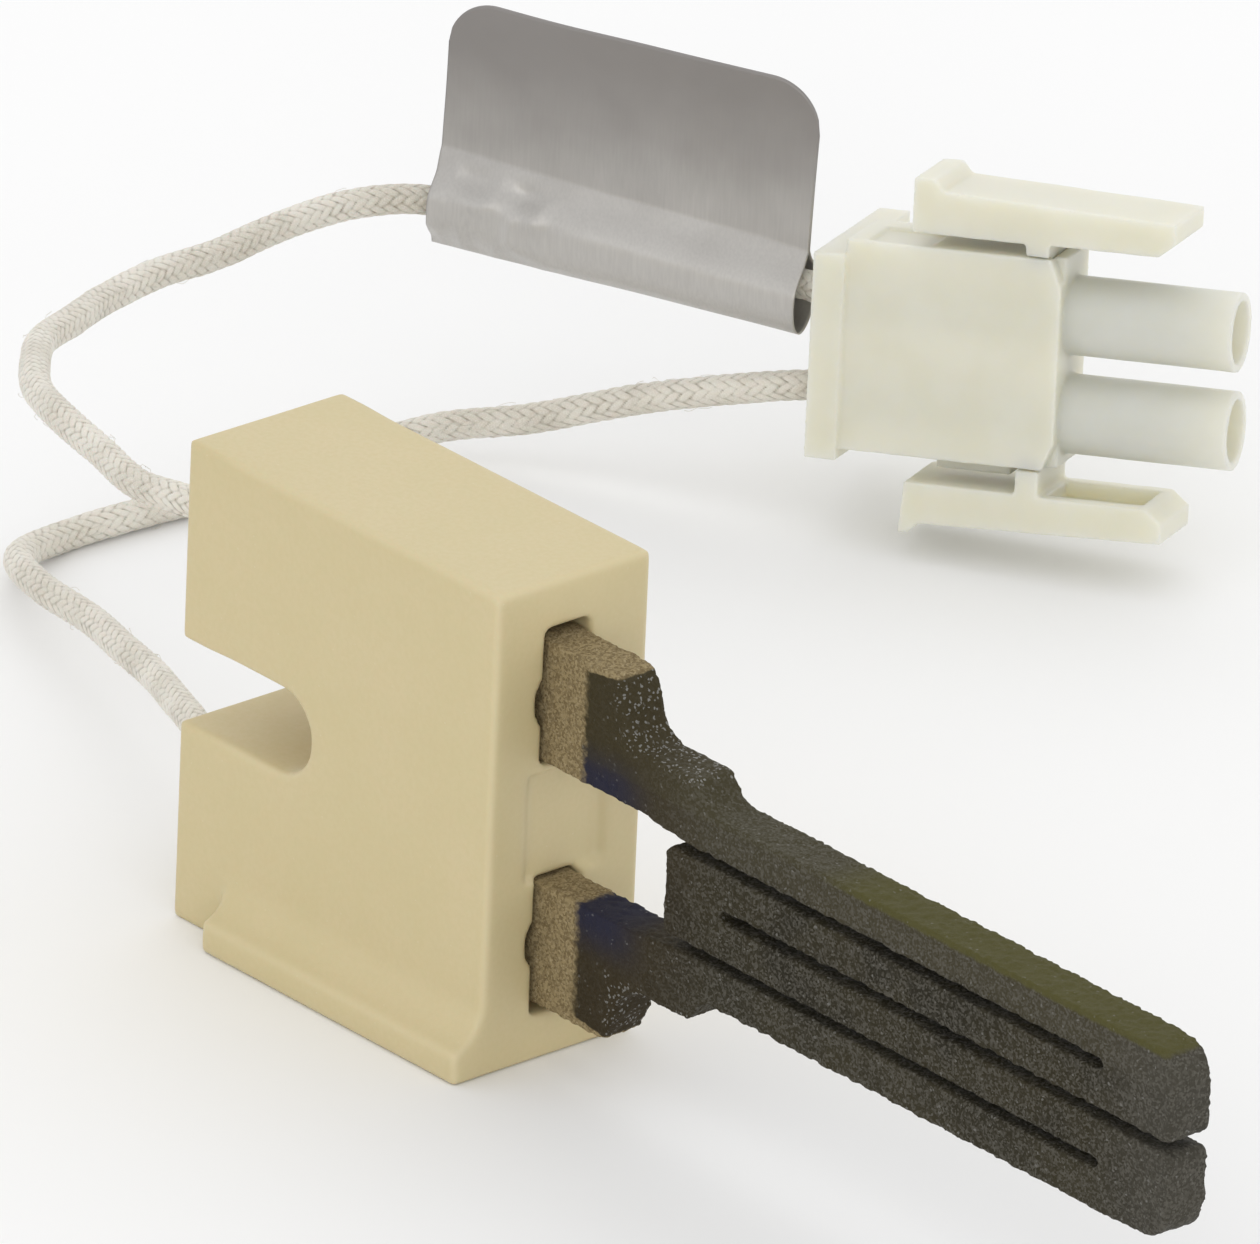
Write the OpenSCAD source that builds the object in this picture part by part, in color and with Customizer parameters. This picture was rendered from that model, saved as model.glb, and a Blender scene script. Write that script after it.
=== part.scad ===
// Hot surface igniter: a serpentine silicon carbide element in a ceramic
// holder, with two braided leads, a foil flag and a two-way plug.
// +X is the way the element points, +Z is up, and the origin is the middle of
// the holder's base. Millimetres.

/* [Ceramic holder] */
// Length of the holder along the element
block_l = 28.8; // [27:0.1:31]
// Thickness of the holder
block_t = 12.2; // [11.8:0.1:13]
// Height of the holder
block_h = 31.8; // [31.2:0.1:33]
// How far the bottom flange stands out of the near broad face
flange_out = 2.1; // [1:0.1:3]
// Height of the flange's outer face
flange_h = 1.9; // [1:0.1:3]
// Length of broad face that the flange leaves bare at the back
flange_gap = 5; // [3:0.5:8]
// Width of the mounting notch
notch_w = 5.5; // [4.2:0.1:6]
// Depth of the mounting notch, round end included
notch_depth = 12; // [9:0.5:12.5]

/* [Heating element] */
// Thickness of the element
element_t = 3.0; // [2.6:0.1:3.2]
// How far the element stands out of the holder
element_out = 56.4; // [50:0.2:60]
// Half of the height across both legs
leg_half = 12.0; // [11.5:0.1:12.3]
// Half of the gap between the legs
leg_inner = 4.0; // [3.8:0.1:4.4]
// Half of the height across the four bars
bars_half = 6.15; // [5.8:0.05:6.4]
// Width of the three sawn slots
slot_w = 0.7; // [0.5:0.05:0.9]
// Distance from the middle slot to each outer slot
slot_pitch = 3.2; // [3.0:0.05:3.4]

/* [Leads] */
// Diameter of a braided lead
lead_d = 2.0; // [1.8:0.1:2.1]
// Diameter of the bare strands inside a lead
strand_d = 1.0; // [0.8:0.1:1.2]

/* [Foil flag] */
// Height of the flag above the lead
flag_h = 12; // [9:0.2:14]
// Diameter of the loose roll around the lead
roll_d = 4.8; // [4:0.1:5.2]

/* [Plug] */
// Distance between the two silos
pitch = 6.35; // [6.3:0.05:6.4]
// Outer diameter of a silo
silo_d = 5.08; // [5:0.02:5.2]
// Bore of a silo and of the cavity behind it
silo_bore = 4.0; // [3.8:0.1:4.1]
// Length of the plug's body without the silos
body_l = 16.4; // [16:0.2:18]
// Thickness of the plug's body
body_t = 6.5; // [6.3:0.1:7]
// Height of the plug's body
body_h = 13.6; // [13.2:0.1:14]
// Overall length of the plug
plug_l = 27.4; // [26:0.2:29]
// Diameter of a contact pin
pin_d = 2.13; // [2:0.01:2.2]

/* [Hidden] */
$fn = 48;

eps = 0.01;                       // overshoot of a cut past a face
front = block_l / 2;              // X of the front face
back = -front;                    // X of the back face
near = -block_t / 2;              // Y of the broad face with the flange
mid_z = block_h / 2;              // height of the notch and of the middle slot

leg_y = -0.45;                    // Y of the middle plane of the element
channel_z = 8;                    // each lead channel, from mid height
channel_r = 2.35;                 // bore behind and around each leg
channel_back = -8;                // X where that bore ends
pocket_w = 3.6;                   // width of a leg pocket
pocket_in = 3.85;                 // inner end of a pocket, from mid height
pocket_out = 12.8;                // outer end of a pocket, from mid height
pocket_x = 1.0;                   // X of a pocket's floor
leg_x = 2.4;                      // X of the hidden end of a leg
lead_hole_r = 1.05;               // lead hole through the back wall
seal_r = 2.0;                     // counterbore for the rear cement
seal_l = 3;                       // its depth
lead_x = -9;                      // X where a lead's braid ends in the holder
barrel_r = 1.2;                   // crimp barrel of a terminal
jaw_t = 0.35;                     // sheet that the terminals are bent from
jaw_h = 2.4;                      // height of a terminal's jaws
strand_x = 0.5;                   // X where the strands end in the barrel

// Plug frame: x along the silos, y away from the near face, z up the row
plug_at = [-36.5, 65.5, 12.05];
plug_turn = [-11, -3, 32];
plug_mid = 0.4;                   // the body's mid plane, above the silos'
rim_x = 0.2;                      // rear face of the rim
rim_l = 2.3;                      // front face of the rim
rim_low = -7.1;                   // bottom of the rim
rim_top = 6.2;                    // top of the rim
rim_deep = 11.4;                  // far side of the rim
shelf_l = 5.6;                    // length of the shelf behind the body
shelf_deep = 8.1;                 // far side of that shelf
arm_w = 6.7;                      // width of a latch arm
hinge_x = 14.75;                  // latch pivot along the body
hinge_out = 0.1;                  // latch pivot, out from the body
hinge_r = 0.75;                   // half-round root of a latch
hinge_play = 0.05;                // clearance around that root
hinge_in = 0.8;                   // how far the root lies behind the near face
crimp_x = 3.0;                    // where a lead's braid ends in the plug

// Routes of the leads, from inside the holder to inside the plug
upper_route = [
    [-9, -0.5, 24], [-14.5, -0.5, 24], [-20, -0.5, 24], [-26, 0, 23], [-32, 2, 22.5],
    [-38, 4, 22], [-44, 7, 21], [-49, 11, 20], [-53, 15, 19], [-56, 20, 18],
    [-59, 25, 17], [-61, 31, 16.5], [-62, 37, 16], [-63, 43, 16], [-63, 49, 16],
    [-60.5, 53.5, 16], [-55, 56.5, 15.75], [-49.5, 59.5, 15.5], [-44, 62.5, 15.25],
    [-38.5, 65.5, 15], [-37, 66, 15], [-34.5, 67.5, 15.5]];
lower_route = [
    [-9, -0.5, 8], [-14.5, -0.5, 8], [-20, 1, 8], [-26, 4, 7], [-32, 7, 6],
    [-38, 9.5, 5], [-44, 12, 4], [-51, 14, 3], [-57, 17, 2], [-59.5, 22, 1.1],
    [-59.5, 28, 1.1], [-59, 34, 1.1], [-58.5, 40, 1.1], [-58, 46, 1.5], [-56, 51, 2.5],
    [-52, 55, 3.5], [-46, 59, 6], [-40, 62.5, 8], [-36, 65, 9], [-33.5, 66.5, 9]];
flag_from = 15;                   // route points that the flag lies between
flag_to = 19;

function unit(v) = v / norm(v);
// Points of an arc about c, from angle a0 to a1
function arc(c, r, a0, a1, n = 8) =
    [for (i = [0:n]) c + r * [cos(a0 + (a1 - a0) * i / n), sin(a0 + (a1 - a0) * i / n)]];
function mirrored(pts) = [for (i = [len(pts) - 1:-1:0]) [pts[i][0], -pts[i][1]]];
// Heading of a route at point i
function heading(route, i) =
    unit(route[min(i + 1, len(route) - 1)] - route[max(i - 1, 0)]);

// Repeats a lead's hardware at both channels
module at_channel(side) { translate([0, leg_y, mid_z + side * channel_z]) children(); }
// A round bar along X from x0 to x1
module bar_x(r, x0, x1) { translate([x0, 0, 0]) rotate([0, 90, 0]) cylinder(r = r, h = x1 - x0); }
module in_plug() { translate(plug_at) rotate(plug_turn) children(); }

// Section of the holder: thickness along x, height along y, flange at the foot
module block_section() {
    fillet_r = 3;
    polygon(concat(
        [[near, block_h], [near, flange_h + fillet_r]],
        arc([near - fillet_r, flange_h + fillet_r], fillet_r, 0, -acos(1 - flange_out / fillet_r), 10),
        [[near - flange_out, flange_h], [near - flange_out, 0], [-near, 0], [-near, block_h]]));
}

module block_body() {
    rotate([90, 0, 90]) translate([0, 0, back]) linear_extrude(block_l) block_section();
}

module ceramic_block() {
    foot_h = 6;
    color("wheat") difference() {
        block_body();
        // The flange stops short of the back face
        translate([back - eps, near - flange_out - 1, -1]) cube([flange_gap + eps, flange_out + 1, foot_h]);
        // Mounting notch with a half-round end
        translate([back - 1, near - 1, mid_z - notch_w / 2])
            cube([notch_depth - notch_w / 2 + 1, block_t + 2, notch_w]);
        translate([back + notch_depth - notch_w / 2, near - 1, mid_z])
            rotate([-90, 0, 0]) cylinder(d = notch_w, h = block_t + 2);
        // Shallow panel between the pockets
        translate([front - 0.4, -3.1, mid_z - pocket_in]) cube([1, 6.3, 2 * pocket_in - 0.5]);
        for (side = [-1, 1]) {
            at_channel(side) {
                bar_x(channel_r, channel_back, front + 1);
                bar_x(lead_hole_r, back - 1, channel_back + eps);
                bar_x(seal_r, back - 1, back + seal_l);
            }
            translate([pocket_x, leg_y - pocket_w / 2, mid_z + (side > 0 ? pocket_in : -pocket_out)])
                cube([front - pocket_x + 1, pocket_w, pocket_out - pocket_in]);
        }
    }
}

// Upper half of the element's outline, from its middle slot outwards.
// x runs along the element and y up from the middle slot.
function element_half() = let (
    tip = front + element_out,
    shoulder = front + 6.6,
    neck = front + 14.6,
    slot_end = front + 50.2,
    fold = front + 11.2,
    half_slot = slot_w / 2,
    slot_lo = slot_pitch - half_slot,
    slot_hi = slot_pitch + half_slot,
    shelf = bars_half + 1.75,
    nose_r = 2.2)
    concat(
        [[front + 16.2, half_slot]],
        arc([tip - 0.7, half_slot + 0.7], 0.7, -90, 0, 4),
        arc([tip - nose_r, bars_half - nose_r], nose_r, 0, 90, 7),
        [[neck + 0.9, bars_half]],
        [[neck, bars_half + 0.5], [neck - 0.9, shelf - 0.1], [neck - 1.5, shelf]],
        arc([shoulder + 2.9, shelf + 2.3], 2.3, -90, -180, 6),
        arc([shoulder - 0.6, leg_half - 0.6], 0.6, 0, 90, 4),
        [[leg_x, leg_half], [leg_x, leg_inner], [front + 8.5, leg_inner]],
        [[front + 12.5, slot_hi]],
        [[slot_end - half_slot, slot_hi]],
        arc([slot_end - half_slot, slot_pitch], half_slot, 90, -90, 6),
        [[fold + 0.4, slot_lo], [fold, slot_lo - 0.4]]);

module heating_element() {
    half = element_half();
    color("dimgray") translate([0, leg_y + element_t / 2, mid_z]) rotate([90, 0, 0])
        linear_extrude(element_t) polygon(concat(half, mirrored(half)));
}

// A U-shaped clip on the end of a leg, with a crimp barrel for the strands
module terminal(side) {
    wide = element_t + 2 * jaw_t;
    at_channel(side) difference() {
        union() {
            translate([leg_x - jaw_t, -wide / 2, -jaw_h / 2]) cube([4.6, wide, jaw_h]);
            bar_x(barrel_r, -4, leg_x - jaw_t + eps);
        }
        translate([leg_x, -element_t / 2, -jaw_h]) cube([10, element_t, 2 * jaw_h]);
        bar_x(strand_d / 2, -5, strand_x);
    }
}
module upper_terminal() { color("silver") terminal(1); }
module lower_terminal() { color("silver") terminal(-1); }

// Refractory cement that fills the bore and the pocket around a leg's end
module cement(side) {
    cement_end = 8;
    difference() {
        union() {
            at_channel(side) bar_x(channel_r, channel_back, cement_end);
            translate([pocket_x, leg_y - pocket_w / 2, mid_z + (side > 0 ? pocket_in : -pocket_out)])
                cube([cement_end - pocket_x, pocket_w, pocket_out - pocket_in]);
        }
        translate([leg_x, leg_y - element_t / 2, mid_z + (side > 0 ? leg_inner : -leg_half)])
            cube([20, element_t, leg_half - leg_inner]);
        at_channel(side) {
            bar_x(barrel_r, -4, leg_x);
            bar_x(strand_d / 2, lead_x, -4 + eps);
            translate([leg_x - jaw_t, -element_t / 2 - jaw_t, -jaw_h / 2])
                cube([4.6, element_t + 2 * jaw_t, jaw_h]);
        }
    }
}
module upper_cement() { color("ivory") cement(1); }
module lower_cement() { color("ivory") cement(-1); }

// Ring of cement around a lead in the back face
module rear_cement(side) {
    at_channel(side) difference() {
        bar_x(seal_r, back + 0.2, back + seal_l);
        bar_x(lead_hole_r, back - 1, back + seal_l + 1);
    }
}
module upper_rear_cement() { color("ivory") rear_cement(1); }
module lower_rear_cement() { color("ivory") rear_cement(-1); }

module strands(side) { at_channel(side) bar_x(strand_d / 2, lead_x, strand_x); }
module upper_strands() { color("silver") strands(1); }
module lower_strands() { color("silver") strands(-1); }

// A tube swept along a route, with an eight-sided ring at each point
module cord(route) {
    sides = 8;
    count = len(route);
    ring = [for (i = [0:count - 1]) let (
        t = heading(route, i),
        u = unit(cross([0, 0, 1], t)),
        v = cross(t, u))
        for (k = [0:sides - 1])
            route[i] + lead_d / 2 * (cos(360 * k / sides) * u + sin(360 * k / sides) * v)];
    walls = [for (i = [0:count - 2], k = [0:sides - 1]) let (
        a = i * sides + k,
        b = i * sides + (k + 1) % sides)
        each [[a, a + sides, b + sides], [a, b + sides, b]]];
    first = [for (k = [0:sides - 1]) k];
    last = [for (k = [sides - 1:-1:0]) (count - 1) * sides + k];
    polyhedron(ring, concat([first], walls, [last]));
}
module upper_lead() { color("ivory") cord(upper_route); }
module lower_lead() { color("ivory") cord(lower_route); }

// Foil flag: a loose roll round the lead, and the flag standing on it
module label_flag() {
    foil = 0.4;
    a = upper_route[flag_from];
    b = upper_route[flag_to];
    along = b - a;
    yaw = atan2(along[1], along[0]);
    dip = -atan2(along[2], norm([along[0], along[1]]));
    color("lightgray") translate(a) rotate([0, dip, yaw]) difference() {
        union() {
            bar_x(roll_d / 2, 0, norm(along));
            translate([0, -foil / 2, 0]) cube([norm(along), foil, roll_d / 2 + flag_h]);
        }
        bar_x(lead_d / 2 + 0.1, -1, norm(along) + 1);
    }
}

// Silo positions, above and below the plug's mid plane
module at_silo(side) { translate([0, 0, side * pitch / 2]) children(); }

module plug_housing() {
    panel_d = 0.25;
    rib_h = 0.9;
    near_y = -body_t / 2;
    low = plug_mid - body_h / 2;
    high = plug_mid + body_h / 2;
    color("ivory") in_plug() difference() {
        union() {
            translate([rim_l - eps, near_y, low]) cube([body_l - rim_l + eps, body_t, body_h]);
            // Deep rear rim and the shelf in front of it
            translate([rim_x, near_y - 0.25, rim_low])
                cube([rim_l - rim_x, rim_deep - near_y + 0.25, rim_top - rim_low]);
            translate([rim_l - eps, body_t / 2 - eps, low])
                cube([shelf_l - rim_l, shelf_deep - body_t / 2, rim_top - low]);
            for (side = [-1, 1]) at_silo(side) bar_x(silo_d / 2, body_l - eps, plug_l);
            // Stop rib behind the lower latch
            translate([8.3, near_y + 1.9, low - rib_h]) cube([4.9, 3, rib_h + eps]);
        }
        for (side = [-1, 1]) {
            at_silo(side) bar_x(silo_bore / 2, -1, plug_l + 1);
            // Groove that a latch's half-round root turns in
            translate([hinge_x, near_y + hinge_in - hinge_play, plug_mid + side * (body_h / 2 + hinge_out)])
                rotate([-90, 0, 0]) cylinder(r = hinge_r + hinge_play, h = arm_w);
            // Cut corner beside each hinge
            translate([0, near_y + 1.2, plug_mid]) mirror([0, 0, side > 0 ? 0 : 1])
                rotate([90, 0, 0]) linear_extrude(2)
                    polygon([[body_l + 1, 5.2], [body_l - 0.1, 5.2], [body_l - 0.8, 7], [body_l + 1, 7]]);
        }
        // Blank moulded panel on top of the body
        translate([3.6, near_y + 0.6, high - panel_d]) cube([4, 4.3, 1]);
    }
}

// Stamped contact: insulation crimp, strand crimp, body with a flange, pin
module contact(side) {
    flange_x = 9;
    pin_end = 24.5;
    in_plug() at_silo(side) difference() {
        union() {
            bar_x(1.5, 1.2, crimp_x + 0.4);
            bar_x(0.95, crimp_x - eps, flange_x);
            bar_x(silo_bore / 2, flange_x, flange_x + 1);
            bar_x(1.6, flange_x - eps, flange_x + 5);
            bar_x(pin_d / 2, flange_x + 5 - eps, pin_end);
            translate([pin_end, 0, 0]) sphere(d = pin_d);
        }
        bar_x(lead_d / 2, 0, crimp_x);
        bar_x(strand_d / 2, crimp_x - 1, crimp_x + 4);
    }
}
module upper_contact() { color("goldenrod") contact(1); }
module lower_contact() { color("goldenrod") contact(-1); }

module plug_strands(side) {
    in_plug() at_silo(side) bar_x(strand_d / 2, crimp_x + 0.1, crimp_x + 4);
}
module upper_plug_strands() { color("silver") plug_strands(1); }
module lower_plug_strands() { color("silver") plug_strands(-1); }

// Side of a latch arm: x along the body, y out from the silos' mid plane.
// root is the pivot, hook the outline of the raised rear end.
function arm_side(root, hook) = concat(hook, [
    [23.7, 10.3], [23.7, 9.0], [22.6, 8.1], [hinge_x + hinge_r, 8.1],
    [hinge_x + hinge_r, root], [hinge_x - hinge_r, root], [hinge_x - hinge_r, 8.05]]);
upper_hook = [[6.5, 8.05], [6.5, 11.6], [7.9, 11.6], [8.5, 10.85]];
lower_hook = [[6.75, 8.0], [6.5, 11.3], [7.1, 11.3], [7.75, 10.65]];

module latch(side) {
    near_y = -body_t / 2;
    root = body_h / 2 + side * plug_mid + hinge_out;
    in_plug() mirror([0, 0, side > 0 ? 0 : 1]) difference() {
        union() {
            translate([0, near_y + arm_w, 0]) rotate([90, 0, 0]) linear_extrude(arm_w)
                polygon(arm_side(root, side > 0 ? upper_hook : lower_hook));
            translate([hinge_x, near_y + hinge_in, root]) rotate([-90, 0, 0])
                cylinder(r = hinge_r, h = arm_w - hinge_in);
        }
        // Channel that catches the mating half
        translate([15.9, near_y + 1.1, 7]) cube([6.2, arm_w - 2.2, 2.1]);
    }
}
module upper_latch() { color("ivory") latch(1); }
module lower_latch() { color("ivory") latch(-1); }

ceramic_block();
heating_element();
upper_terminal();
lower_terminal();
upper_cement();
lower_cement();
upper_rear_cement();
lower_rear_cement();
upper_strands();
lower_strands();
upper_lead();
lower_lead();
label_flag();
plug_housing();
upper_contact();
lower_contact();
upper_plug_strands();
lower_plug_strands();
upper_latch();
lower_latch();
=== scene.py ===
"""Looks of the hot surface igniter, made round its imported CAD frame.

Everything is in the frame's own axes. Sizes are written in millimetres and turned
into metres where a mesh is made.
"""
import math

import bpy
import numpy as np
from mathutils import Matrix, Vector


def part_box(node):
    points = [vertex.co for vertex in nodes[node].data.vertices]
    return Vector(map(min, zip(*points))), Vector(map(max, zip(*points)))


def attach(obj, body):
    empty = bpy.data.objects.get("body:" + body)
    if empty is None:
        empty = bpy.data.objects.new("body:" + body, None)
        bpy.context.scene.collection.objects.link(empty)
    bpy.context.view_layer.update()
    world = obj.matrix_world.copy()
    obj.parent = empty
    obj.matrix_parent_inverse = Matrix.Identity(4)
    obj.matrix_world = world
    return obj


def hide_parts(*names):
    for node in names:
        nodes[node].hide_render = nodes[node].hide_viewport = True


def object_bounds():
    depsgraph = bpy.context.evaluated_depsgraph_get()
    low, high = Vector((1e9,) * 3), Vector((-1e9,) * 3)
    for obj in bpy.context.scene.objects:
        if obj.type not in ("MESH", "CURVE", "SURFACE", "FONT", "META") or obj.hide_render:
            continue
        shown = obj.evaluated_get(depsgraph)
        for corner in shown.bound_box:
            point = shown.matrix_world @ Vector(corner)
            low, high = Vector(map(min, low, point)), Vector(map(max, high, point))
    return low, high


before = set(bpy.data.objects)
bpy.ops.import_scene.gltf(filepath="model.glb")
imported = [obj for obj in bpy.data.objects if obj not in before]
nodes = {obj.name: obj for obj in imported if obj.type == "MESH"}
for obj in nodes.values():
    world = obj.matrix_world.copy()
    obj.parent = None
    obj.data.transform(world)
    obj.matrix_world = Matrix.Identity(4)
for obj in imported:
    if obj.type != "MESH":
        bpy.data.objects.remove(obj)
cad_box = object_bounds()

MM = 0.001
IGNITER = "igniter"
SIDES = ("upper", "lower")


# ------------------------------------------------------------------ camera

AZIMUTH, ELEVATION, ROLL = 48.0, 24.47, 2.48
DISTANCE = 1.5
LENS = 706.9
TARGET = Vector((0.0045, 0.0134, 0.0214))


def make_camera():
    a, e = math.radians(AZIMUTH), math.radians(ELEVATION)
    back = Vector((math.sin(a) * math.cos(e), -math.cos(a) * math.cos(e), math.sin(e)))
    data = bpy.data.cameras.new("camera")
    data.lens = LENS
    data.sensor_width = 36.0
    data.clip_start, data.clip_end = 0.05, 30.0
    camera = bpy.data.objects.new("camera", data)
    bpy.context.scene.collection.objects.link(camera)
    camera.rotation_mode = "QUATERNION"
    roll = Matrix.Rotation(math.radians(ROLL), 3, "Z").to_quaternion()
    camera.rotation_quaternion = (-back).to_track_quat("-Z", "Y") @ roll
    camera.location = TARGET + back * DISTANCE
    bpy.context.scene.camera = camera


# ------------------------------------------------------------------ numbers

def unit(v):
    v = np.asarray(v, float)
    return v / np.linalg.norm(v, axis=-1, keepdims=True)


def ramp(x, low, high):
    """0 below low, 1 above high, smooth between them."""
    t = np.clip((np.asarray(x, float) - low) / (high - low), 0, 1)
    return t * t * (3 - 2 * t)


def lattice(i, j, k, seed):
    """A fixed random number from 0 to 1 for each whole-number point."""
    mask = np.uint64(0xFFFFFFFF)
    n = (i.astype(np.int64) * 374761393 + j.astype(np.int64) * 668265263
         + k.astype(np.int64) * 1440662683 + seed * 1013904223).astype(np.uint64) & mask
    n = ((n ^ (n >> np.uint64(13))) * np.uint64(1274126177)) & mask
    return (n ^ (n >> np.uint64(16))).astype(float) / 2.0 ** 32


def noise(points, size, seed=0):
    """Smooth noise from -1 to 1 at points, with features of about the given size."""
    p = np.asarray(points, float) / size
    cell = np.floor(p)
    f = p - cell
    f = f * f * (3 - 2 * f)
    total = 0
    for corner in np.ndindex(2, 2, 2):
        weight = np.prod([f[..., n] if c else 1 - f[..., n] for n, c in enumerate(corner)], axis=0)
        total = total + weight * lattice(*(cell[..., n] + c for n, c in enumerate(corner)), seed)
    return 2 * total - 1


# ------------------------------------------------------------------ meshes

def new_object(name, mesh, smooth=True):
    if smooth:
        mesh.shade_smooth()
    obj = bpy.data.objects.new(name, mesh)
    bpy.context.scene.collection.objects.link(obj)
    return obj


def mesh_object(name, points, faces, smooth=True):
    """A mesh object from points in millimetres."""
    mesh = bpy.data.meshes.new(name)
    mesh.from_pydata((np.asarray(points, float) * MM).tolist(), [], faces)
    mesh.update()
    return new_object(name, mesh, smooth)


def grid_faces(rows, columns, wrap):
    """Quads of a grid of points, wrapped round its columns if wrap is set."""
    i, j = np.meshgrid(np.arange(rows - 1), np.arange(columns if wrap else columns - 1), indexing="ij")
    a, b = i * columns + j, i * columns + (j + 1) % columns
    return np.stack([a, b, b + columns, a + columns], -1).reshape(-1, 4).tolist()


def tube(name, rings):
    """A closed tube from rings of points."""
    rows, columns, _ = rings.shape
    faces = grid_faces(rows, columns, wrap=True)
    faces.append(list(range(columns - 1, -1, -1)))
    faces.append(list(range((rows - 1) * columns, rows * columns)))
    return mesh_object(name, rings.reshape(-1, 3), faces)


def points_of(mesh):
    co = np.empty(len(mesh.vertices) * 3)
    mesh.vertices.foreach_get("co", co)
    return co.reshape(-1, 3) / MM


def normals_of(mesh):
    n = np.empty(len(mesh.vertices) * 3)
    mesh.vertices.foreach_get("normal", n)
    return n.reshape(-1, 3)


def set_points(mesh, points):
    mesh.vertices.foreach_set("co", (points * MM).reshape(-1))
    mesh.update()


def set_attribute(mesh, name, values):
    """A number at each point, which a material can read."""
    layer = mesh.attributes.new(name, "FLOAT", "POINT")
    layer.data.foreach_set("value", np.asarray(values, np.float32).reshape(-1))


def remeshed(name, node, voxel):
    """A fine, even mesh of a CAD node's shape, as a new object."""
    source = bpy.data.objects.new(name + "_source", nodes[node].data.copy())
    bpy.context.scene.collection.objects.link(source)
    remesh = source.modifiers.new("remesh", "REMESH")
    remesh.mode = "VOXEL"
    remesh.voxel_size = voxel * MM
    graph = bpy.context.evaluated_depsgraph_get()
    mesh = bpy.data.meshes.new_from_object(source.evaluated_get(graph), depsgraph=graph)
    old = source.data
    bpy.data.objects.remove(source)
    bpy.data.meshes.remove(old)
    mesh.name = name
    mesh.materials.clear()
    for layer in [a.name for a in mesh.attributes if not a.is_required and not a.is_internal]:
        mesh.attributes.remove(mesh.attributes[layer])
    return new_object(name, mesh)


def smoothed(mesh, points, passes, weight=1.0):
    """Points moved towards their neighbours, which rounds edges and keeps flats flat."""
    edges = np.empty(len(mesh.edges) * 2, np.int64)
    mesh.edges.foreach_get("vertices", edges)
    a, b = edges.reshape(-1, 2).T
    count = np.bincount(np.concatenate([a, b]), minlength=len(points))[:, None]
    for _ in range(passes):
        total = np.stack([np.bincount(a, points[b, k], len(points))
                          + np.bincount(b, points[a, k], len(points)) for k in range(3)], 1)
        points = points + 0.5 * np.reshape(weight, (-1, 1)) * (total / count - points)
    return points


def replace_node(obj, node, body, material):
    """Puts a piece in a CAD node's place."""
    obj.data.materials.append(material)
    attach(obj, body)
    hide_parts(node)
    return obj


# ------------------------------------------------------------------ materials

class Look:
    """One procedural material. Keyword arguments are constants of its shader."""

    def __init__(self, name, **constants):
        self.material = bpy.data.materials.new(name)
        self.material.use_nodes = True
        self.tree = self.material.node_tree
        self.shader = self.tree.nodes["Principled BSDF"]
        for key, value in constants.items():
            self.shader.inputs[key.replace("_", " ")].default_value = value

    def add(self, kind, out=0, settings=(), **inputs):
        """A node with its inputs set or linked. Returns one of its outputs."""
        node = self.tree.nodes.new(kind)
        for key, value in dict(settings).items():
            setattr(node, key, value)
        for key, value in inputs.items():
            socket = node.inputs[int(key[1:])] if key[0] == "i" and key[1:].isdigit() else node.inputs[key]
            if isinstance(value, bpy.types.NodeSocket):
                self.tree.links.new(value, socket)
            else:
                socket.default_value = value
        return node.outputs[out]

    def place(self):
        """The point's place in millimetres, in the frame's axes."""
        object_place = self.add("ShaderNodeTexCoord", out="Object")
        return self.add("ShaderNodeVectorMath", settings={"operation": "SCALE"},
                        i0=object_place, Scale=1 / MM)

    def axis(self, vector, name):
        return self.add("ShaderNodeSeparateXYZ", out=name, i0=vector)

    def maths(self, operation, a, b=0.0, clamp=False):
        return self.add("ShaderNodeMath", settings={"operation": operation, "use_clamp": clamp}, i0=a, i1=b)

    def noise(self, place, size, detail=2.0):
        return self.add("ShaderNodeTexNoise", out="Fac", Vector=place, Scale=1 / size, Detail=detail)

    def grains(self, place, size, out="Color"):
        return self.add("ShaderNodeTexVoronoi", out=out, Vector=place, Scale=1 / size)

    def step(self, value, low, high, to_low=0.0, to_high=1.0):
        """Maps low..high to to_low..to_high, smoothly and clamped."""
        return self.add("ShaderNodeMapRange", settings={"interpolation_type": "SMOOTHSTEP"},
                        Value=value, i1=low, i2=high, i3=to_low, i4=to_high)

    def mix(self, factor, a, b, blend="MIX"):
        node = self.tree.nodes.new("ShaderNodeMix")
        node.data_type, node.blend_type = "RGBA", blend
        for index, value in ((0, factor), (6, a), (7, b)):
            if isinstance(value, bpy.types.NodeSocket):
                self.tree.links.new(value, node.inputs[index])
            else:
                node.inputs[index].default_value = value if index == 0 else (*value, 1.0)[:4]
        return node.outputs[2]

    def attribute(self, name):
        return self.add("ShaderNodeAttribute", out="Fac", settings={"attribute_name": name})

    def bump(self, height, distance, strength=1.0):
        """A bump of a given height in millimetres."""
        return self.add("ShaderNodeBump", Height=height, Distance=distance * MM, Strength=strength)

    def link(self, **sockets):
        for key, value in sockets.items():
            self.tree.links.new(value, self.shader.inputs[key.replace("_", " ")])
        return self.material


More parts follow.
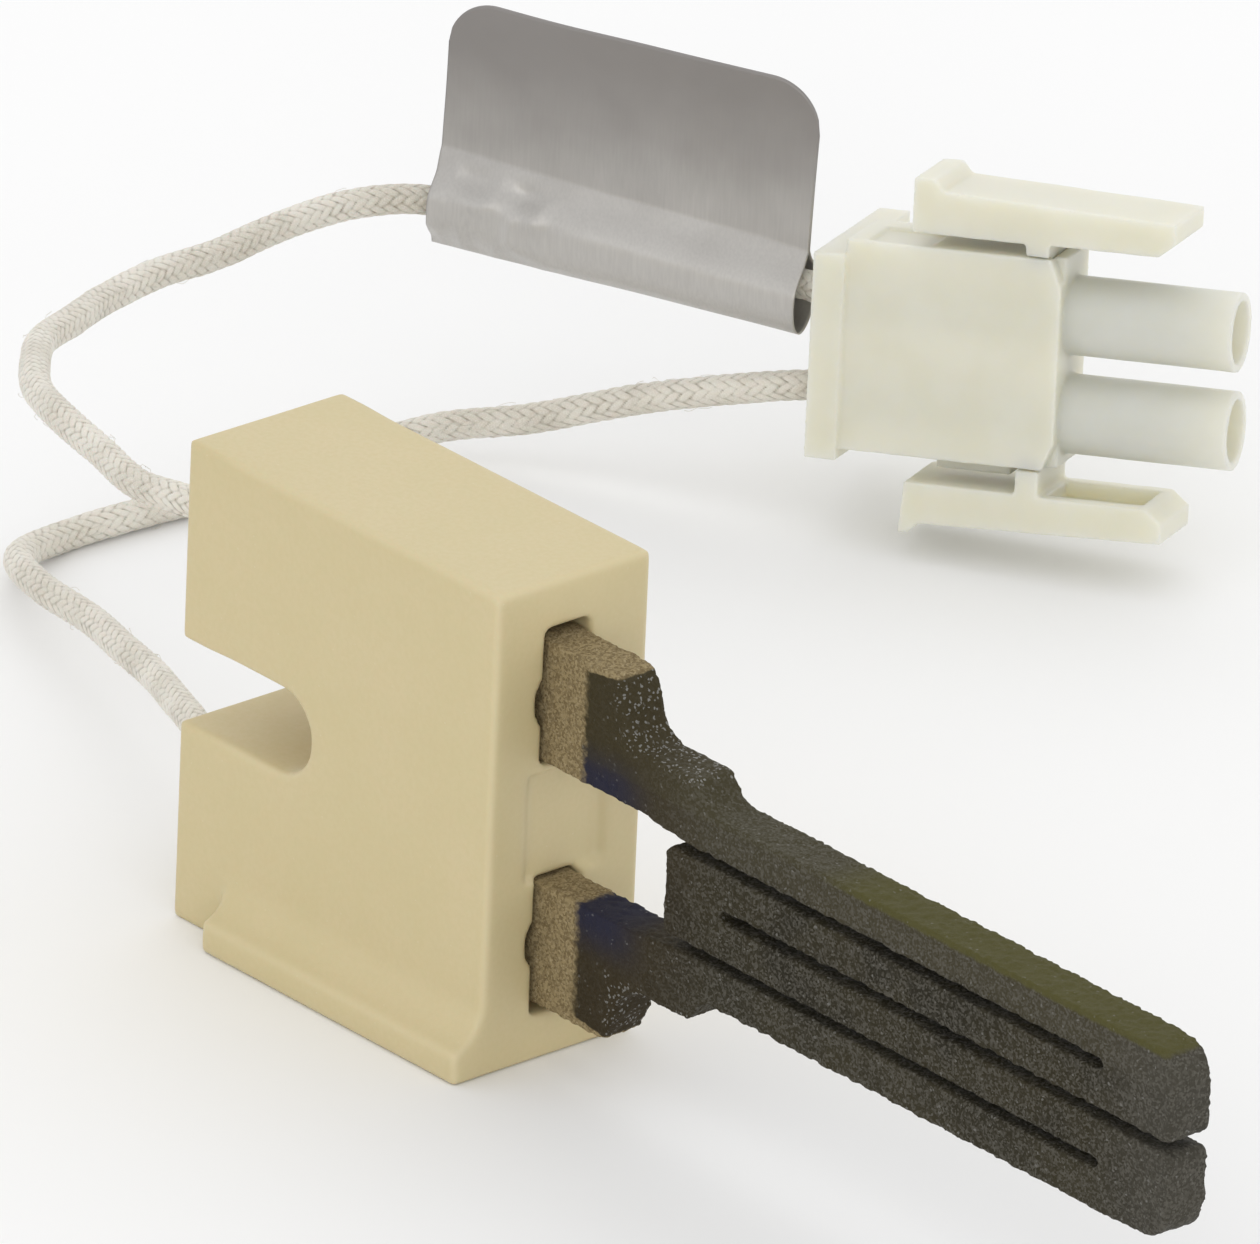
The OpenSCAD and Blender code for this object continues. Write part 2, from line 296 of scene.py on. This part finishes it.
def steatite_look():
    """Dry-pressed cream ceramic: fine mottling, a few pores, and a painted highlight making its rounded
    edges paler.
    """
    look = Look("steatite", Roughness=0.42, Subsurface_Weight=0.08, Subsurface_Scale=0.0006)
    place = look.place()
    cloud = look.noise(place, 7.0, 3.0)
    fine = look.noise(place, 0.35, 4.0)
    body = look.mix(look.step(cloud, 0.35, 0.65), (0.585, 0.495, 0.278), (0.598, 0.503, 0.290))
    body = look.mix(look.step(fine, 0.3, 0.7, 0.0, 0.4), body, (0.565, 0.476, 0.263))
    # Painted highlight: the rounded edges are painted paler, where they would catch the light
    edge_highlight = look.step(look.attribute("edge_highlight"), 0.02, 0.16)
    body = look.mix(look.maths("MULTIPLY", edge_highlight, 0.5), body, (0.66, 0.575, 0.365))
    pores = look.grains(place, 1.1, "Distance")
    pore = look.step(pores, 0.03, 0.07, 0.25, 0.0)
    body = look.mix(pore, body, (0.72, 0.66, 0.50))
    height = look.maths("ADD", look.maths("MULTIPLY", fine, 0.6), look.noise(place, 0.12, 2.0))
    return look.link(Base_Color=body, Normal=look.bump(height, 0.01, 0.3),
                     Roughness=look.step(fine, 0.2, 0.8, 0.42, 0.54))


def carbide_look(front, mid_z, bar_top):
    """Recrystallised silicon carbide: dark grains, a sandy coated root and heat tints."""
    look = Look("silicon_carbide", Specular_IOR_Level=0.15)
    place = look.place()
    x, z = look.axis(place, "X"), look.axis(place, "Z")
    off = look.maths("ABSOLUTE", look.maths("SUBTRACT", z, mid_z))
    speckle = look.axis(look.grains(place, 0.14), "X")
    tint = look.axis(look.grains(place, 0.16), "Y")
    fine = look.noise(place, 0.12, 3.0)
    wide = look.noise(place, 5.0, 2.0)

    dark = look.mix(look.step(wide, 0.35, 0.65), (0.020, 0.017, 0.009), (0.030, 0.025, 0.012))
    # The outer bars are paler and olive, the tip greyer
    outer = look.step(look.maths("ADD", off, look.maths("MULTIPLY", wide, 1.2)), 3.2, 5.2)
    upper = look.step(z, mid_z + 2.6, mid_z + 4.0, 0.25, 0.85)
    dark = look.mix(look.maths("MULTIPLY", outer, upper), dark, (0.054, 0.047, 0.027))
    dark = look.mix(look.step(x, front + 48.0, front + 56.0, 0.0, 0.7), dark, (0.056, 0.052, 0.042))
    dark = look.mix(look.step(speckle, 0.3, 0.95, 0.0, 0.55), dark, (0.125, 0.117, 0.098))
    # Heat tints: brown beyond the coated root, then blue and violet inside each leg
    brown = look.step(x, front + 7.0, front + 17.0, 0.8, 0.0)
    dark = look.mix(brown, dark, (0.034, 0.024, 0.010))
    blue = look.maths("MULTIPLY", look.step(x, front + 6.0, front + 10.5, 1.0, 0.0),
                      look.step(off, 4.6, 7.6, 0.9, 0.0))
    dark = look.mix(blue, dark, (0.018, 0.019, 0.040))
    # Olive tint on the top edge towards the tip
    top = look.maths("MULTIPLY", look.step(z, bar_top - 0.55, bar_top - 0.25),
                     look.step(x, front + 24.0, front + 29.0, 0.1, 0.9))
    dark = look.mix(top, dark, (0.078, 0.072, 0.020))
    # Painted glints: bright grain points painted into the colour, dense on the dark end faces of the
    # shoulders, sparse elsewhere
    shoulder = look.maths("MULTIPLY", look.step(off, 7.0, 8.2), look.step(x, front + 6.0, front + 6.8))
    least = look.step(shoulder, 0.0, 1.0, 0.975, 0.86)
    painted_glint = look.step(look.maths("SUBTRACT", speckle, least), 0.0, 0.05)
    dark = look.mix(look.maths("MULTIPLY", painted_glint, 0.45), dark, (0.34, 0.34, 0.33))
    # Sandy coating from the holder to just short of the shoulder
    edge_x = look.maths("ADD", look.step(off, 11.3, 11.9, front + 3.6, front + 6.6),
                        look.maths("SUBTRACT", look.noise(place, 0.5, 2.0), 0.5))
    coated = look.step(look.maths("SUBTRACT", edge_x, x), -0.3, 0.4)
    sand = look.mix(look.step(tint, 0.1, 0.9), (0.170, 0.125, 0.062), (0.300, 0.235, 0.125))
    sand = look.mix(look.step(fine, 0.5, 0.75, 0.0, 0.6), sand, (0.42, 0.35, 0.22))
    colour = look.mix(coated, dark, sand)
    height = look.maths("ADD", look.maths("MULTIPLY", speckle, 0.7), fine)
    rough = look.step(painted_glint, 0.0, 1.0, 0.66, 0.3)
    rough = look.maths("ADD", rough, look.maths("MULTIPLY", coated, 0.25), clamp=True)
    return look.link(Base_Color=colour, Roughness=rough, Normal=look.bump(height, 0.08, 0.7))


def braid_look():
    """Woven glass fibre: ivory crowns, painted shade in the gaps between bundles, a little soiling along
    its length.
    """
    look = Look("glass_braid", Roughness=0.62, Sheen_Weight=0.25, Sheen_Roughness=0.4,
                Subsurface_Weight=0.1, Subsurface_Scale=0.0004)
    place = look.place()
    weave = look.attribute("weave")
    soil = look.noise(place, 6.0, 3.0)
    fibres = look.noise(place, 0.09, 3.0)
    crown = look.mix(look.step(soil, 0.35, 0.7), (0.72, 0.685, 0.605), (0.58, 0.54, 0.455))
    crown = look.mix(look.step(fibres, 0.35, 0.75, 0.0, 0.4), crown, (0.88, 0.86, 0.80))
    # Painted shade: where the weave is low, between the bundles, the colour is painted dark grey
    colour = look.mix(look.step(weave, 0.2, 0.8), (0.31, 0.27, 0.205), crown)
    return look.link(Base_Color=colour, Normal=look.bump(fibres, 0.02, 0.5))


def foil_look():
    """Satin metallised film, with painted shade darkening it towards its top edge."""
    look = Look("flag_foil", Metallic=0.7, Anisotropic=0.2)
    place = look.place()
    brushed = look.add("ShaderNodeVectorMath", settings={"operation": "MULTIPLY"},
                       i0=place, i1=(1.0, 1.0, 0.06))
    streak = look.noise(brushed, 0.16, 3.0)
    wide = look.noise(place, 4.0, 2.0)
    # Painted shade: the film is painted darker towards its top edge, unevenly
    height = look.maths("ADD", look.axis(place, "Z"), look.maths("MULTIPLY", wide, 3.0))
    colour = look.mix(look.step(streak, 0.2, 0.8), (0.50, 0.485, 0.465), (0.55, 0.535, 0.51))
    colour = look.mix(look.step(height, 15.0, 30.0), colour, (0.27, 0.255, 0.245))
    return look.link(Base_Color=colour, Normal=look.bump(streak, 0.003, 0.3),
                     Roughness=look.step(wide, 0.3, 0.7, 0.42, 0.52))


def nylon_look():
    """Natural nylon: milky, faintly yellow where it is thick."""
    look = Look("natural_nylon", Subsurface_Weight=0.9, Subsurface_Scale=0.0022,
                Subsurface_Radius=(1.0, 0.9, 0.7), Transmission_Weight=0.15, IOR=1.48)
    place = look.place()
    cloud = look.noise(place, 3.0, 2.0)
    fine = look.noise(place, 0.25, 3.0)
    colour = look.mix(look.step(cloud, 0.3, 0.7), (0.785, 0.768, 0.645), (0.805, 0.790, 0.680))
    return look.link(Base_Color=colour, Normal=look.bump(fine, 0.006, 0.5),
                     Roughness=look.step(cloud, 0.3, 0.7, 0.34, 0.44))


def cement_look():
    look = Look("refractory_cement", Roughness=0.85)
    place = look.place()
    grit = look.noise(place, 0.25, 4.0)
    colour = look.mix(look.step(grit, 0.3, 0.7), (0.56, 0.50, 0.37), (0.70, 0.65, 0.52))
    return look.link(Base_Color=colour, Normal=look.bump(grit, 0.06, 0.8))


def metal_look(name, dull, bright, roughness):
    """Drawn or stamped metal with fine lines along the row's X axis."""
    look = Look(name, Metallic=1.0)
    place = look.place()
    lines = look.add("ShaderNodeVectorMath", settings={"operation": "MULTIPLY"},
                     i0=place, i1=(0.1, 1.0, 1.0))
    streak = look.noise(lines, 0.12, 3.0)
    colour = look.mix(look.step(streak, 0.3, 0.7), dull, bright)
    return look.link(Base_Color=colour, Normal=look.bump(streak, 0.004, 0.4),
                     Roughness=look.step(streak, 0.2, 0.8, roughness, roughness + 0.15))


# ------------------------------------------------------------------ leads

LEAD_D = 2.0
CARRIERS = 20                 # yarn bundles in the braid
BRAID_LAY = 9.5               # length of one turn of a bundle
BRAID_STEP = 0.13             # distance between rings of the mesh
BRAID_SIDES = 80
ROUTES = {
    "upper": [
        (-9, -0.5, 24), (-14.5, -0.5, 24), (-20, -0.5, 24), (-26, 0, 23), (-32, 2, 22.5),
        (-38, 4, 22), (-44, 7, 21), (-49, 11, 20), (-53, 15, 19), (-56, 20, 18),
        (-59, 25, 17), (-61, 31, 16.5), (-62, 37, 16), (-63, 43, 16), (-63, 49, 16),
        (-60.5, 53.5, 16), (-55, 56.5, 15.75), (-49.5, 59.5, 15.5), (-44, 62.5, 15.25),
        (-38.5, 65.5, 15), (-37, 66, 15), (-34.5, 67.5, 15.5)],
    "lower": [
        (-9, -0.5, 8), (-14.5, -0.5, 8), (-20, 1, 8), (-26, 4, 7), (-32, 7, 6),
        (-38, 9.5, 5), (-44, 12, 4), (-51, 14, 3), (-57, 17, 2), (-59.5, 22, 1.1),
        (-59.5, 28, 1.1), (-59, 34, 1.1), (-58.5, 40, 1.1), (-58, 46, 1.5), (-56, 51, 2.5),
        (-52, 55, 3.5), (-46, 59, 6), (-40, 62.5, 8), (-36, 65, 9), (-33.5, 66.5, 9)],
}
FLAG_FROM, FLAG_TO = 15, 19   # route points that the foil flag lies between


def smooth_route(points, step):
    """Points a fixed step apart on a smooth curve that follows a route."""
    p = np.array(points, float)
    p = np.vstack([2 * p[0] - p[1], p, 2 * p[-1] - p[-2]])
    t = np.linspace(0, 1, 24, endpoint=False)[:, None]
    curve = [0.5 * (2 * b + (c - a) * t + (2 * a - 5 * b + 4 * c - d) * t ** 2
                    + (3 * b - a - 3 * c + d) * t ** 3) for a, b, c, d in zip(p, p[1:], p[2:], p[3:])]
    curve = np.vstack(curve + [p[-2:-1]])
    run = np.concatenate([[0], np.cumsum(np.linalg.norm(np.diff(curve, axis=0), axis=1))])
    at = np.linspace(0, run[-1], int(round(run[-1] / step)) + 1)
    return np.stack([np.interp(at, run, curve[:, k]) for k in range(3)], 1)


def cross_directions(path):
    """Two directions across a path at each of its points, without twist."""
    along = unit(np.gradient(path, axis=0))
    side = unit(np.cross((0, 0, 1), along[0]))
    sides = [side]
    for heading in along[1:]:
        side = unit(side - heading * side.dot(heading))
        sides.append(side)
    sides = np.array(sides)
    return sides, np.cross(along, sides)


def braid_height(turn, along):
    """Height of a two-over, two-under braid, from 0 in its gaps to 1 on its crowns."""
    families = []
    right = CARRIERS / 2 * (turn + along / BRAID_LAY)
    left = CARRIERS / 2 * (turn - along / BRAID_LAY)
    for mine, other, sign in ((right, left, 1), (left, right, -1)):
        across = mine - np.floor(mine) - 0.5
        crown = np.clip(1 - (across / 0.56) ** 4, 0, 1)
        wave = sign * np.sin(math.pi / 2 * (other + np.floor(mine)))
        families.append(crown * (0.6 + 0.4 * wave))
    return np.maximum(*families)


def braided_lead(side, seed):
    path = smooth_route(ROUTES[side], BRAID_STEP)
    u, v = cross_directions(path)
    turn, along = np.meshgrid(np.arange(BRAID_SIDES) / BRAID_SIDES, np.arange(len(path)) * BRAID_STEP)
    height = braid_height(turn, along)
    angle = turn * 2 * math.pi
    where = np.stack([np.cos(angle), np.sin(angle), along], -1)
    uneven = 0.03 * noise(where, 1.7, seed) + 0.012 * noise(where, 0.4, seed)
    radius = LEAD_D / 2 * (0.87 + 0.13 * height + uneven)
    rings = path[:, None] + radius[..., None] * (
        np.cos(angle)[..., None] * u[:, None] + np.sin(angle)[..., None] * v[:, None])
    lead = tube(side + "_braid", rings)
    set_attribute(lead.data, "weave", np.clip(height + 0.12 * noise(where, 0.9, seed + 5), 0, 1))
    return lead, path


def stray_fibres(name, path, count, seed):
    """Short glass fibres that have worked loose from a braid."""
    rng = np.random.default_rng(seed)
    u, v = cross_directions(path)
    points, faces = [], []
    thick = 0.018
    triangle = [0, 2 * math.pi / 3, 4 * math.pi / 3]
    for _ in range(count):
        i = rng.integers(60, len(path) - 60)
        turn = rng.uniform(0, 2 * math.pi)
        out = math.cos(turn) * u[i] + math.sin(turn) * v[i]
        along = unit(path[i + 1] - path[i]) * rng.choice([-1, 1])
        reach, lift = rng.uniform(0.5, 1.6), rng.uniform(0.08, 0.32)
        across = unit(np.cross(out, along))
        steps = np.linspace(0, 1, 6)
        line = [path[i] + out * (LEAD_D / 2 * 0.93 + lift * math.sin(2.2 * s)) + along * reach * s
                + across * 0.25 * s * s * rng.uniform(-1, 1) for s in steps]
        base = len(points)
        for p in line:
            points += [p + thick * (math.cos(t) * out + math.sin(t) * across) for t in triangle]
        faces += [[base + f for f in face] for face in grid_faces(len(line), 3, wrap=True)]
        last = base + 3 * (len(line) - 1)
        faces += [[base + 2, base + 1, base], [last, last + 1, last + 2]]
    return mesh_object(name, points, faces)


def make_leads():
    """Both leads, and their path points in millimetres."""
    material = braid_look()
    made = {}
    for seed, side in enumerate(SIDES, 1):
        lead, path = braided_lead(side, seed)
        replace_node(lead, side + "_lead", IGNITER, material)
        fibres = stray_fibres(side + "_stray_fibres", path, 70, seed)
        fibres.data.materials.append(material)
        set_attribute(fibres.data, "weave", np.ones(len(fibres.data.vertices)))
        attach(fibres, IGNITER)
        made[side] = (lead, path, fibres)
    return made


# ------------------------------------------------------------------ holder

def make_holder():
    low, high = (np.array(c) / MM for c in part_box("ceramic_block"))
    holder = remeshed("holder", "ceramic_block", 0.26)
    mesh = holder.data
    points = points_of(mesh)
    # Distance from the front pockets, whose edges stay crisper than the outer ones
    y, z = points[:, 1], points[:, 2]
    from_pocket = np.maximum(np.abs(y + 0.45) - 1.8, np.abs(np.abs(z - high[2] / 2) - 8.3) - 4.5)
    crisp = ramp(from_pocket, 0.5, 1.6) + ramp(high[0] - 3 - points[:, 0], 0, 2)
    outer = np.clip(crisp, 0, 1) * (0.3 + 0.7 * ramp(points[:, 0] - low[0], 2.0, 5.0))
    weight = 0.12 + 0.88 * outer
    rounded = smoothed(mesh, points, 9, weight)
    # How far each point was rounded, kept as the mask of the painted edge highlight
    edge_highlight = np.linalg.norm(rounded - points, axis=1)
    wobble = 0.008 * noise(rounded, 4.0, 11)[:, None]
    set_points(mesh, rounded)
    set_points(mesh, rounded + normals_of(mesh) * wobble)
    set_attribute(mesh, "edge_highlight", smoothed(mesh, edge_highlight[:, None].repeat(3, 1), 2)[:, 0])
    replace_node(holder, "ceramic_block", IGNITER, steatite_look())


# ------------------------------------------------------------------ element

def make_element():
    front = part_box("ceramic_block")[1][0] / MM
    low, high = (np.array(c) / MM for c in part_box("heating_element"))
    mid_z = (low[2] + high[2]) / 2
    element = remeshed("element", "heating_element", 0.15)
    mesh = element.data
    points = smoothed(mesh, points_of(mesh), 5)
    set_points(mesh, points)
    coarse = 0.05 * noise(points, 0.75, 21) + 0.06 * noise(points, 0.38, 22) + 0.05 * noise(points, 0.2, 23)
    points = points + normals_of(mesh) * coarse[:, None]
    points[:, 0] = np.minimum(points[:, 0], high[0])
    set_points(mesh, points)
    replace_node(element, "heating_element", IGNITER, carbide_look(front, mid_z, mid_z + 6.15))


# ------------------------------------------------------------------ foil flag

FOIL_T = 0.12


def make_flag():
    route = np.array(ROUTES["upper"], float)
    start, end = route[FLAG_FROM], route[FLAG_TO]
    length = np.linalg.norm(end - start)
    along = unit(end - start)
    near = unit(np.cross(along, (0, 0, 1)))
    up = np.cross(near, along)
    stations = np.linspace(0.3, length + 0.3, 150)
    rise = np.linspace(0, 1, 60)
    sheet = []
    for a in stations:
        share = a / length
        crease = 3.9 - 1.6 * share
        low = -2.7 - 0.6 * share
        wide = 2.25
        top = 14.3 - 0.03 * (a - 4)
        left, right = a - 0.3, length + 0.3 - a
        for gone, radius in ((left, 3.2), (right, 3.4)):
            if gone < radius:
                top -= radius - math.sqrt(max(radius ** 2 - (radius - gone) ** 2, 0))
        flat = [crease + (top - crease) * (1 - r) for r in rise]
        half = FOIL_T * 0.55
        far_side = [(-half, v) for v in flat]
        near_side = [(half, v) for v in flat[::-1]]
        middle, tall = (crease + low) / 2, (crease - low) / 2
        roll = []
        for turn in np.radians(np.linspace(100, 440, 72)):
            pinch = 1 - 0.75 * ramp(math.sin(turn), 0.1, 1.0)
            roll.append((wide * math.cos(turn) * pinch, middle + tall * math.sin(turn)))
        sheet.append(far_side[:-1] + roll + near_side[1:])
    sheet = np.array(sheet)
    rows, columns, _ = sheet.shape
    a = np.broadcast_to(stations[:, None], (rows, columns))
    out, v = sheet[..., 0], sheet[..., 1]
    # A slight bow in the flag, and crumples in the roll, most of them near its left end
    bow = 0.35 * np.sin(math.pi * a / length) * ramp(v, 3, 13)
    bow = bow + 0.25 * noise(np.stack([a, v, 0 * a], -1), 7.0, 31)
    where = np.stack([a, v * 0.8, 0 * a], -1)
    crumple = np.abs(noise(where, 3.2, 32)) * 0.9 + np.abs(noise(where, 1.7, 33)) * 0.3
    crumple *= ramp(-a, -11.5, -6.0) * ramp(-v, -5.0, -3.0) * np.sign(out) * ramp(np.abs(out), 0.2, 1.5)
    out = out + bow - crumple
    points = start + a[..., None] * along + out[..., None] * near + v[..., None] * up
    flag = mesh_object("foil_flag", points.reshape(-1, 3), grid_faces(rows, columns, wrap=False))
    thicken = flag.modifiers.new("thickness", "SOLIDIFY")
    thicken.thickness = FOIL_T * MM * 0.8
    thicken.offset = 0.0
    replace_node(flag, "label_flag", IGNITER, foil_look())
    return flag


# ------------------------------------------------------------------ plug

def soft_moulding(name, node, body, material):
    """A moulded nylon piece with rounded edges and faint sink marks."""
    piece = remeshed(name, node, 0.12)
    mesh = piece.data
    points = smoothed(mesh, points_of(mesh), 2)
    set_points(mesh, points)
    set_points(mesh, points + normals_of(mesh) * (0.012 * noise(points, 2.5, 41))[:, None])
    return replace_node(piece, node, body, material)


def make_plug():
    nylon = nylon_look()
    soft_moulding("plug_shell", "plug_housing", IGNITER, nylon)
    for side in SIDES:
        soft_moulding(side + "_latch_arm", side + "_latch", side + "_latch", nylon)


# ------------------------------------------------------------------ hardware

def finish_node(name, material, bevel=0.0):
    """Gives a carried-over CAD node its material and, if wanted, softened edges."""
    obj = nodes[name]
    obj.data.materials.clear()
    obj.data.materials.append(material)
    if bevel:
        weld = obj.modifiers.new("weld", "WELD")
        weld.merge_threshold = 0.002 * MM
        soften = obj.modifiers.new("soften", "BEVEL")
        soften.width = bevel * MM
        soften.segments = 2
        soften.angle_limit = math.radians(40)


def make_hardware():
    cement = cement_look()
    terminal = metal_look("nickel_sheet", (0.42, 0.40, 0.37), (0.66, 0.64, 0.60), 0.28)
    strand = metal_look("nickel_strands", (0.40, 0.38, 0.35), (0.72, 0.70, 0.66), 0.25)
    contact = metal_look("tinned_brass", (0.48, 0.46, 0.42), (0.74, 0.72, 0.67), 0.22)
    for side in SIDES:
        finish_node(side + "_terminal", terminal, 0.05)
        finish_node(side + "_cement", cement)
        finish_node(side + "_rear_cement", cement, 0.12)
        finish_node(side + "_strands", strand)
        finish_node(side + "_plug_strands", strand)
        finish_node(side + "_contact", contact, 0.08)


# ------------------------------------------------------------------ studio

def area_light(name, place, power, size, aim=(0, 0, 0.01), tint=(1, 1, 1)):
    data = bpy.data.lights.new(name, "AREA")
    data.energy, data.size, data.color = power, size, tint
    light = bpy.data.objects.new(name, data)
    light.location = place
    light.rotation_mode = "QUATERNION"
    light.rotation_quaternion = (Vector(aim) - Vector(place)).to_track_quat("-Z", "Y")
    bpy.context.scene.collection.objects.link(light)


def make_studio():
    scene = bpy.context.scene
    scene.view_settings.view_transform = "Standard"
    world = bpy.data.worlds.new("studio")
    world.use_nodes = True
    world.node_tree.nodes["Background"].inputs["Color"].default_value = (1, 1, 1, 1)
    world.node_tree.nodes["Background"].inputs["Strength"].default_value = 1.0
    scene.world = world
    area_light("key", (0.9, -0.8, 0.45), 2.0, 0.7)
    area_light("back", (-0.6, 0.6, 0.8), 1.0, 0.8)
    floor_z = cad_box[0][2]
    size = 6000
    corners = [(-size, -size, 0), (size, -size, 0), (size, size, 0), (-size, size, 0)]
    floor = mesh_object("floor", corners, [[0, 1, 2, 3]])
    floor.location.z = floor_z
    look = Look("floor", Roughness=0.9, Specular_IOR_Level=0.0)
    grain = look.noise(look.place(), 40.0, 2.0)
    floor.data.materials.append(look.link(
        Base_Color=look.mix(grain, (0.90, 0.90, 0.90), (0.91, 0.91, 0.91))))


# ------------------------------------------------------------------ assembly

make_camera()
leads = make_leads()
make_holder()
make_element()
flag = make_flag()
make_plug()
make_hardware()
make_studio()
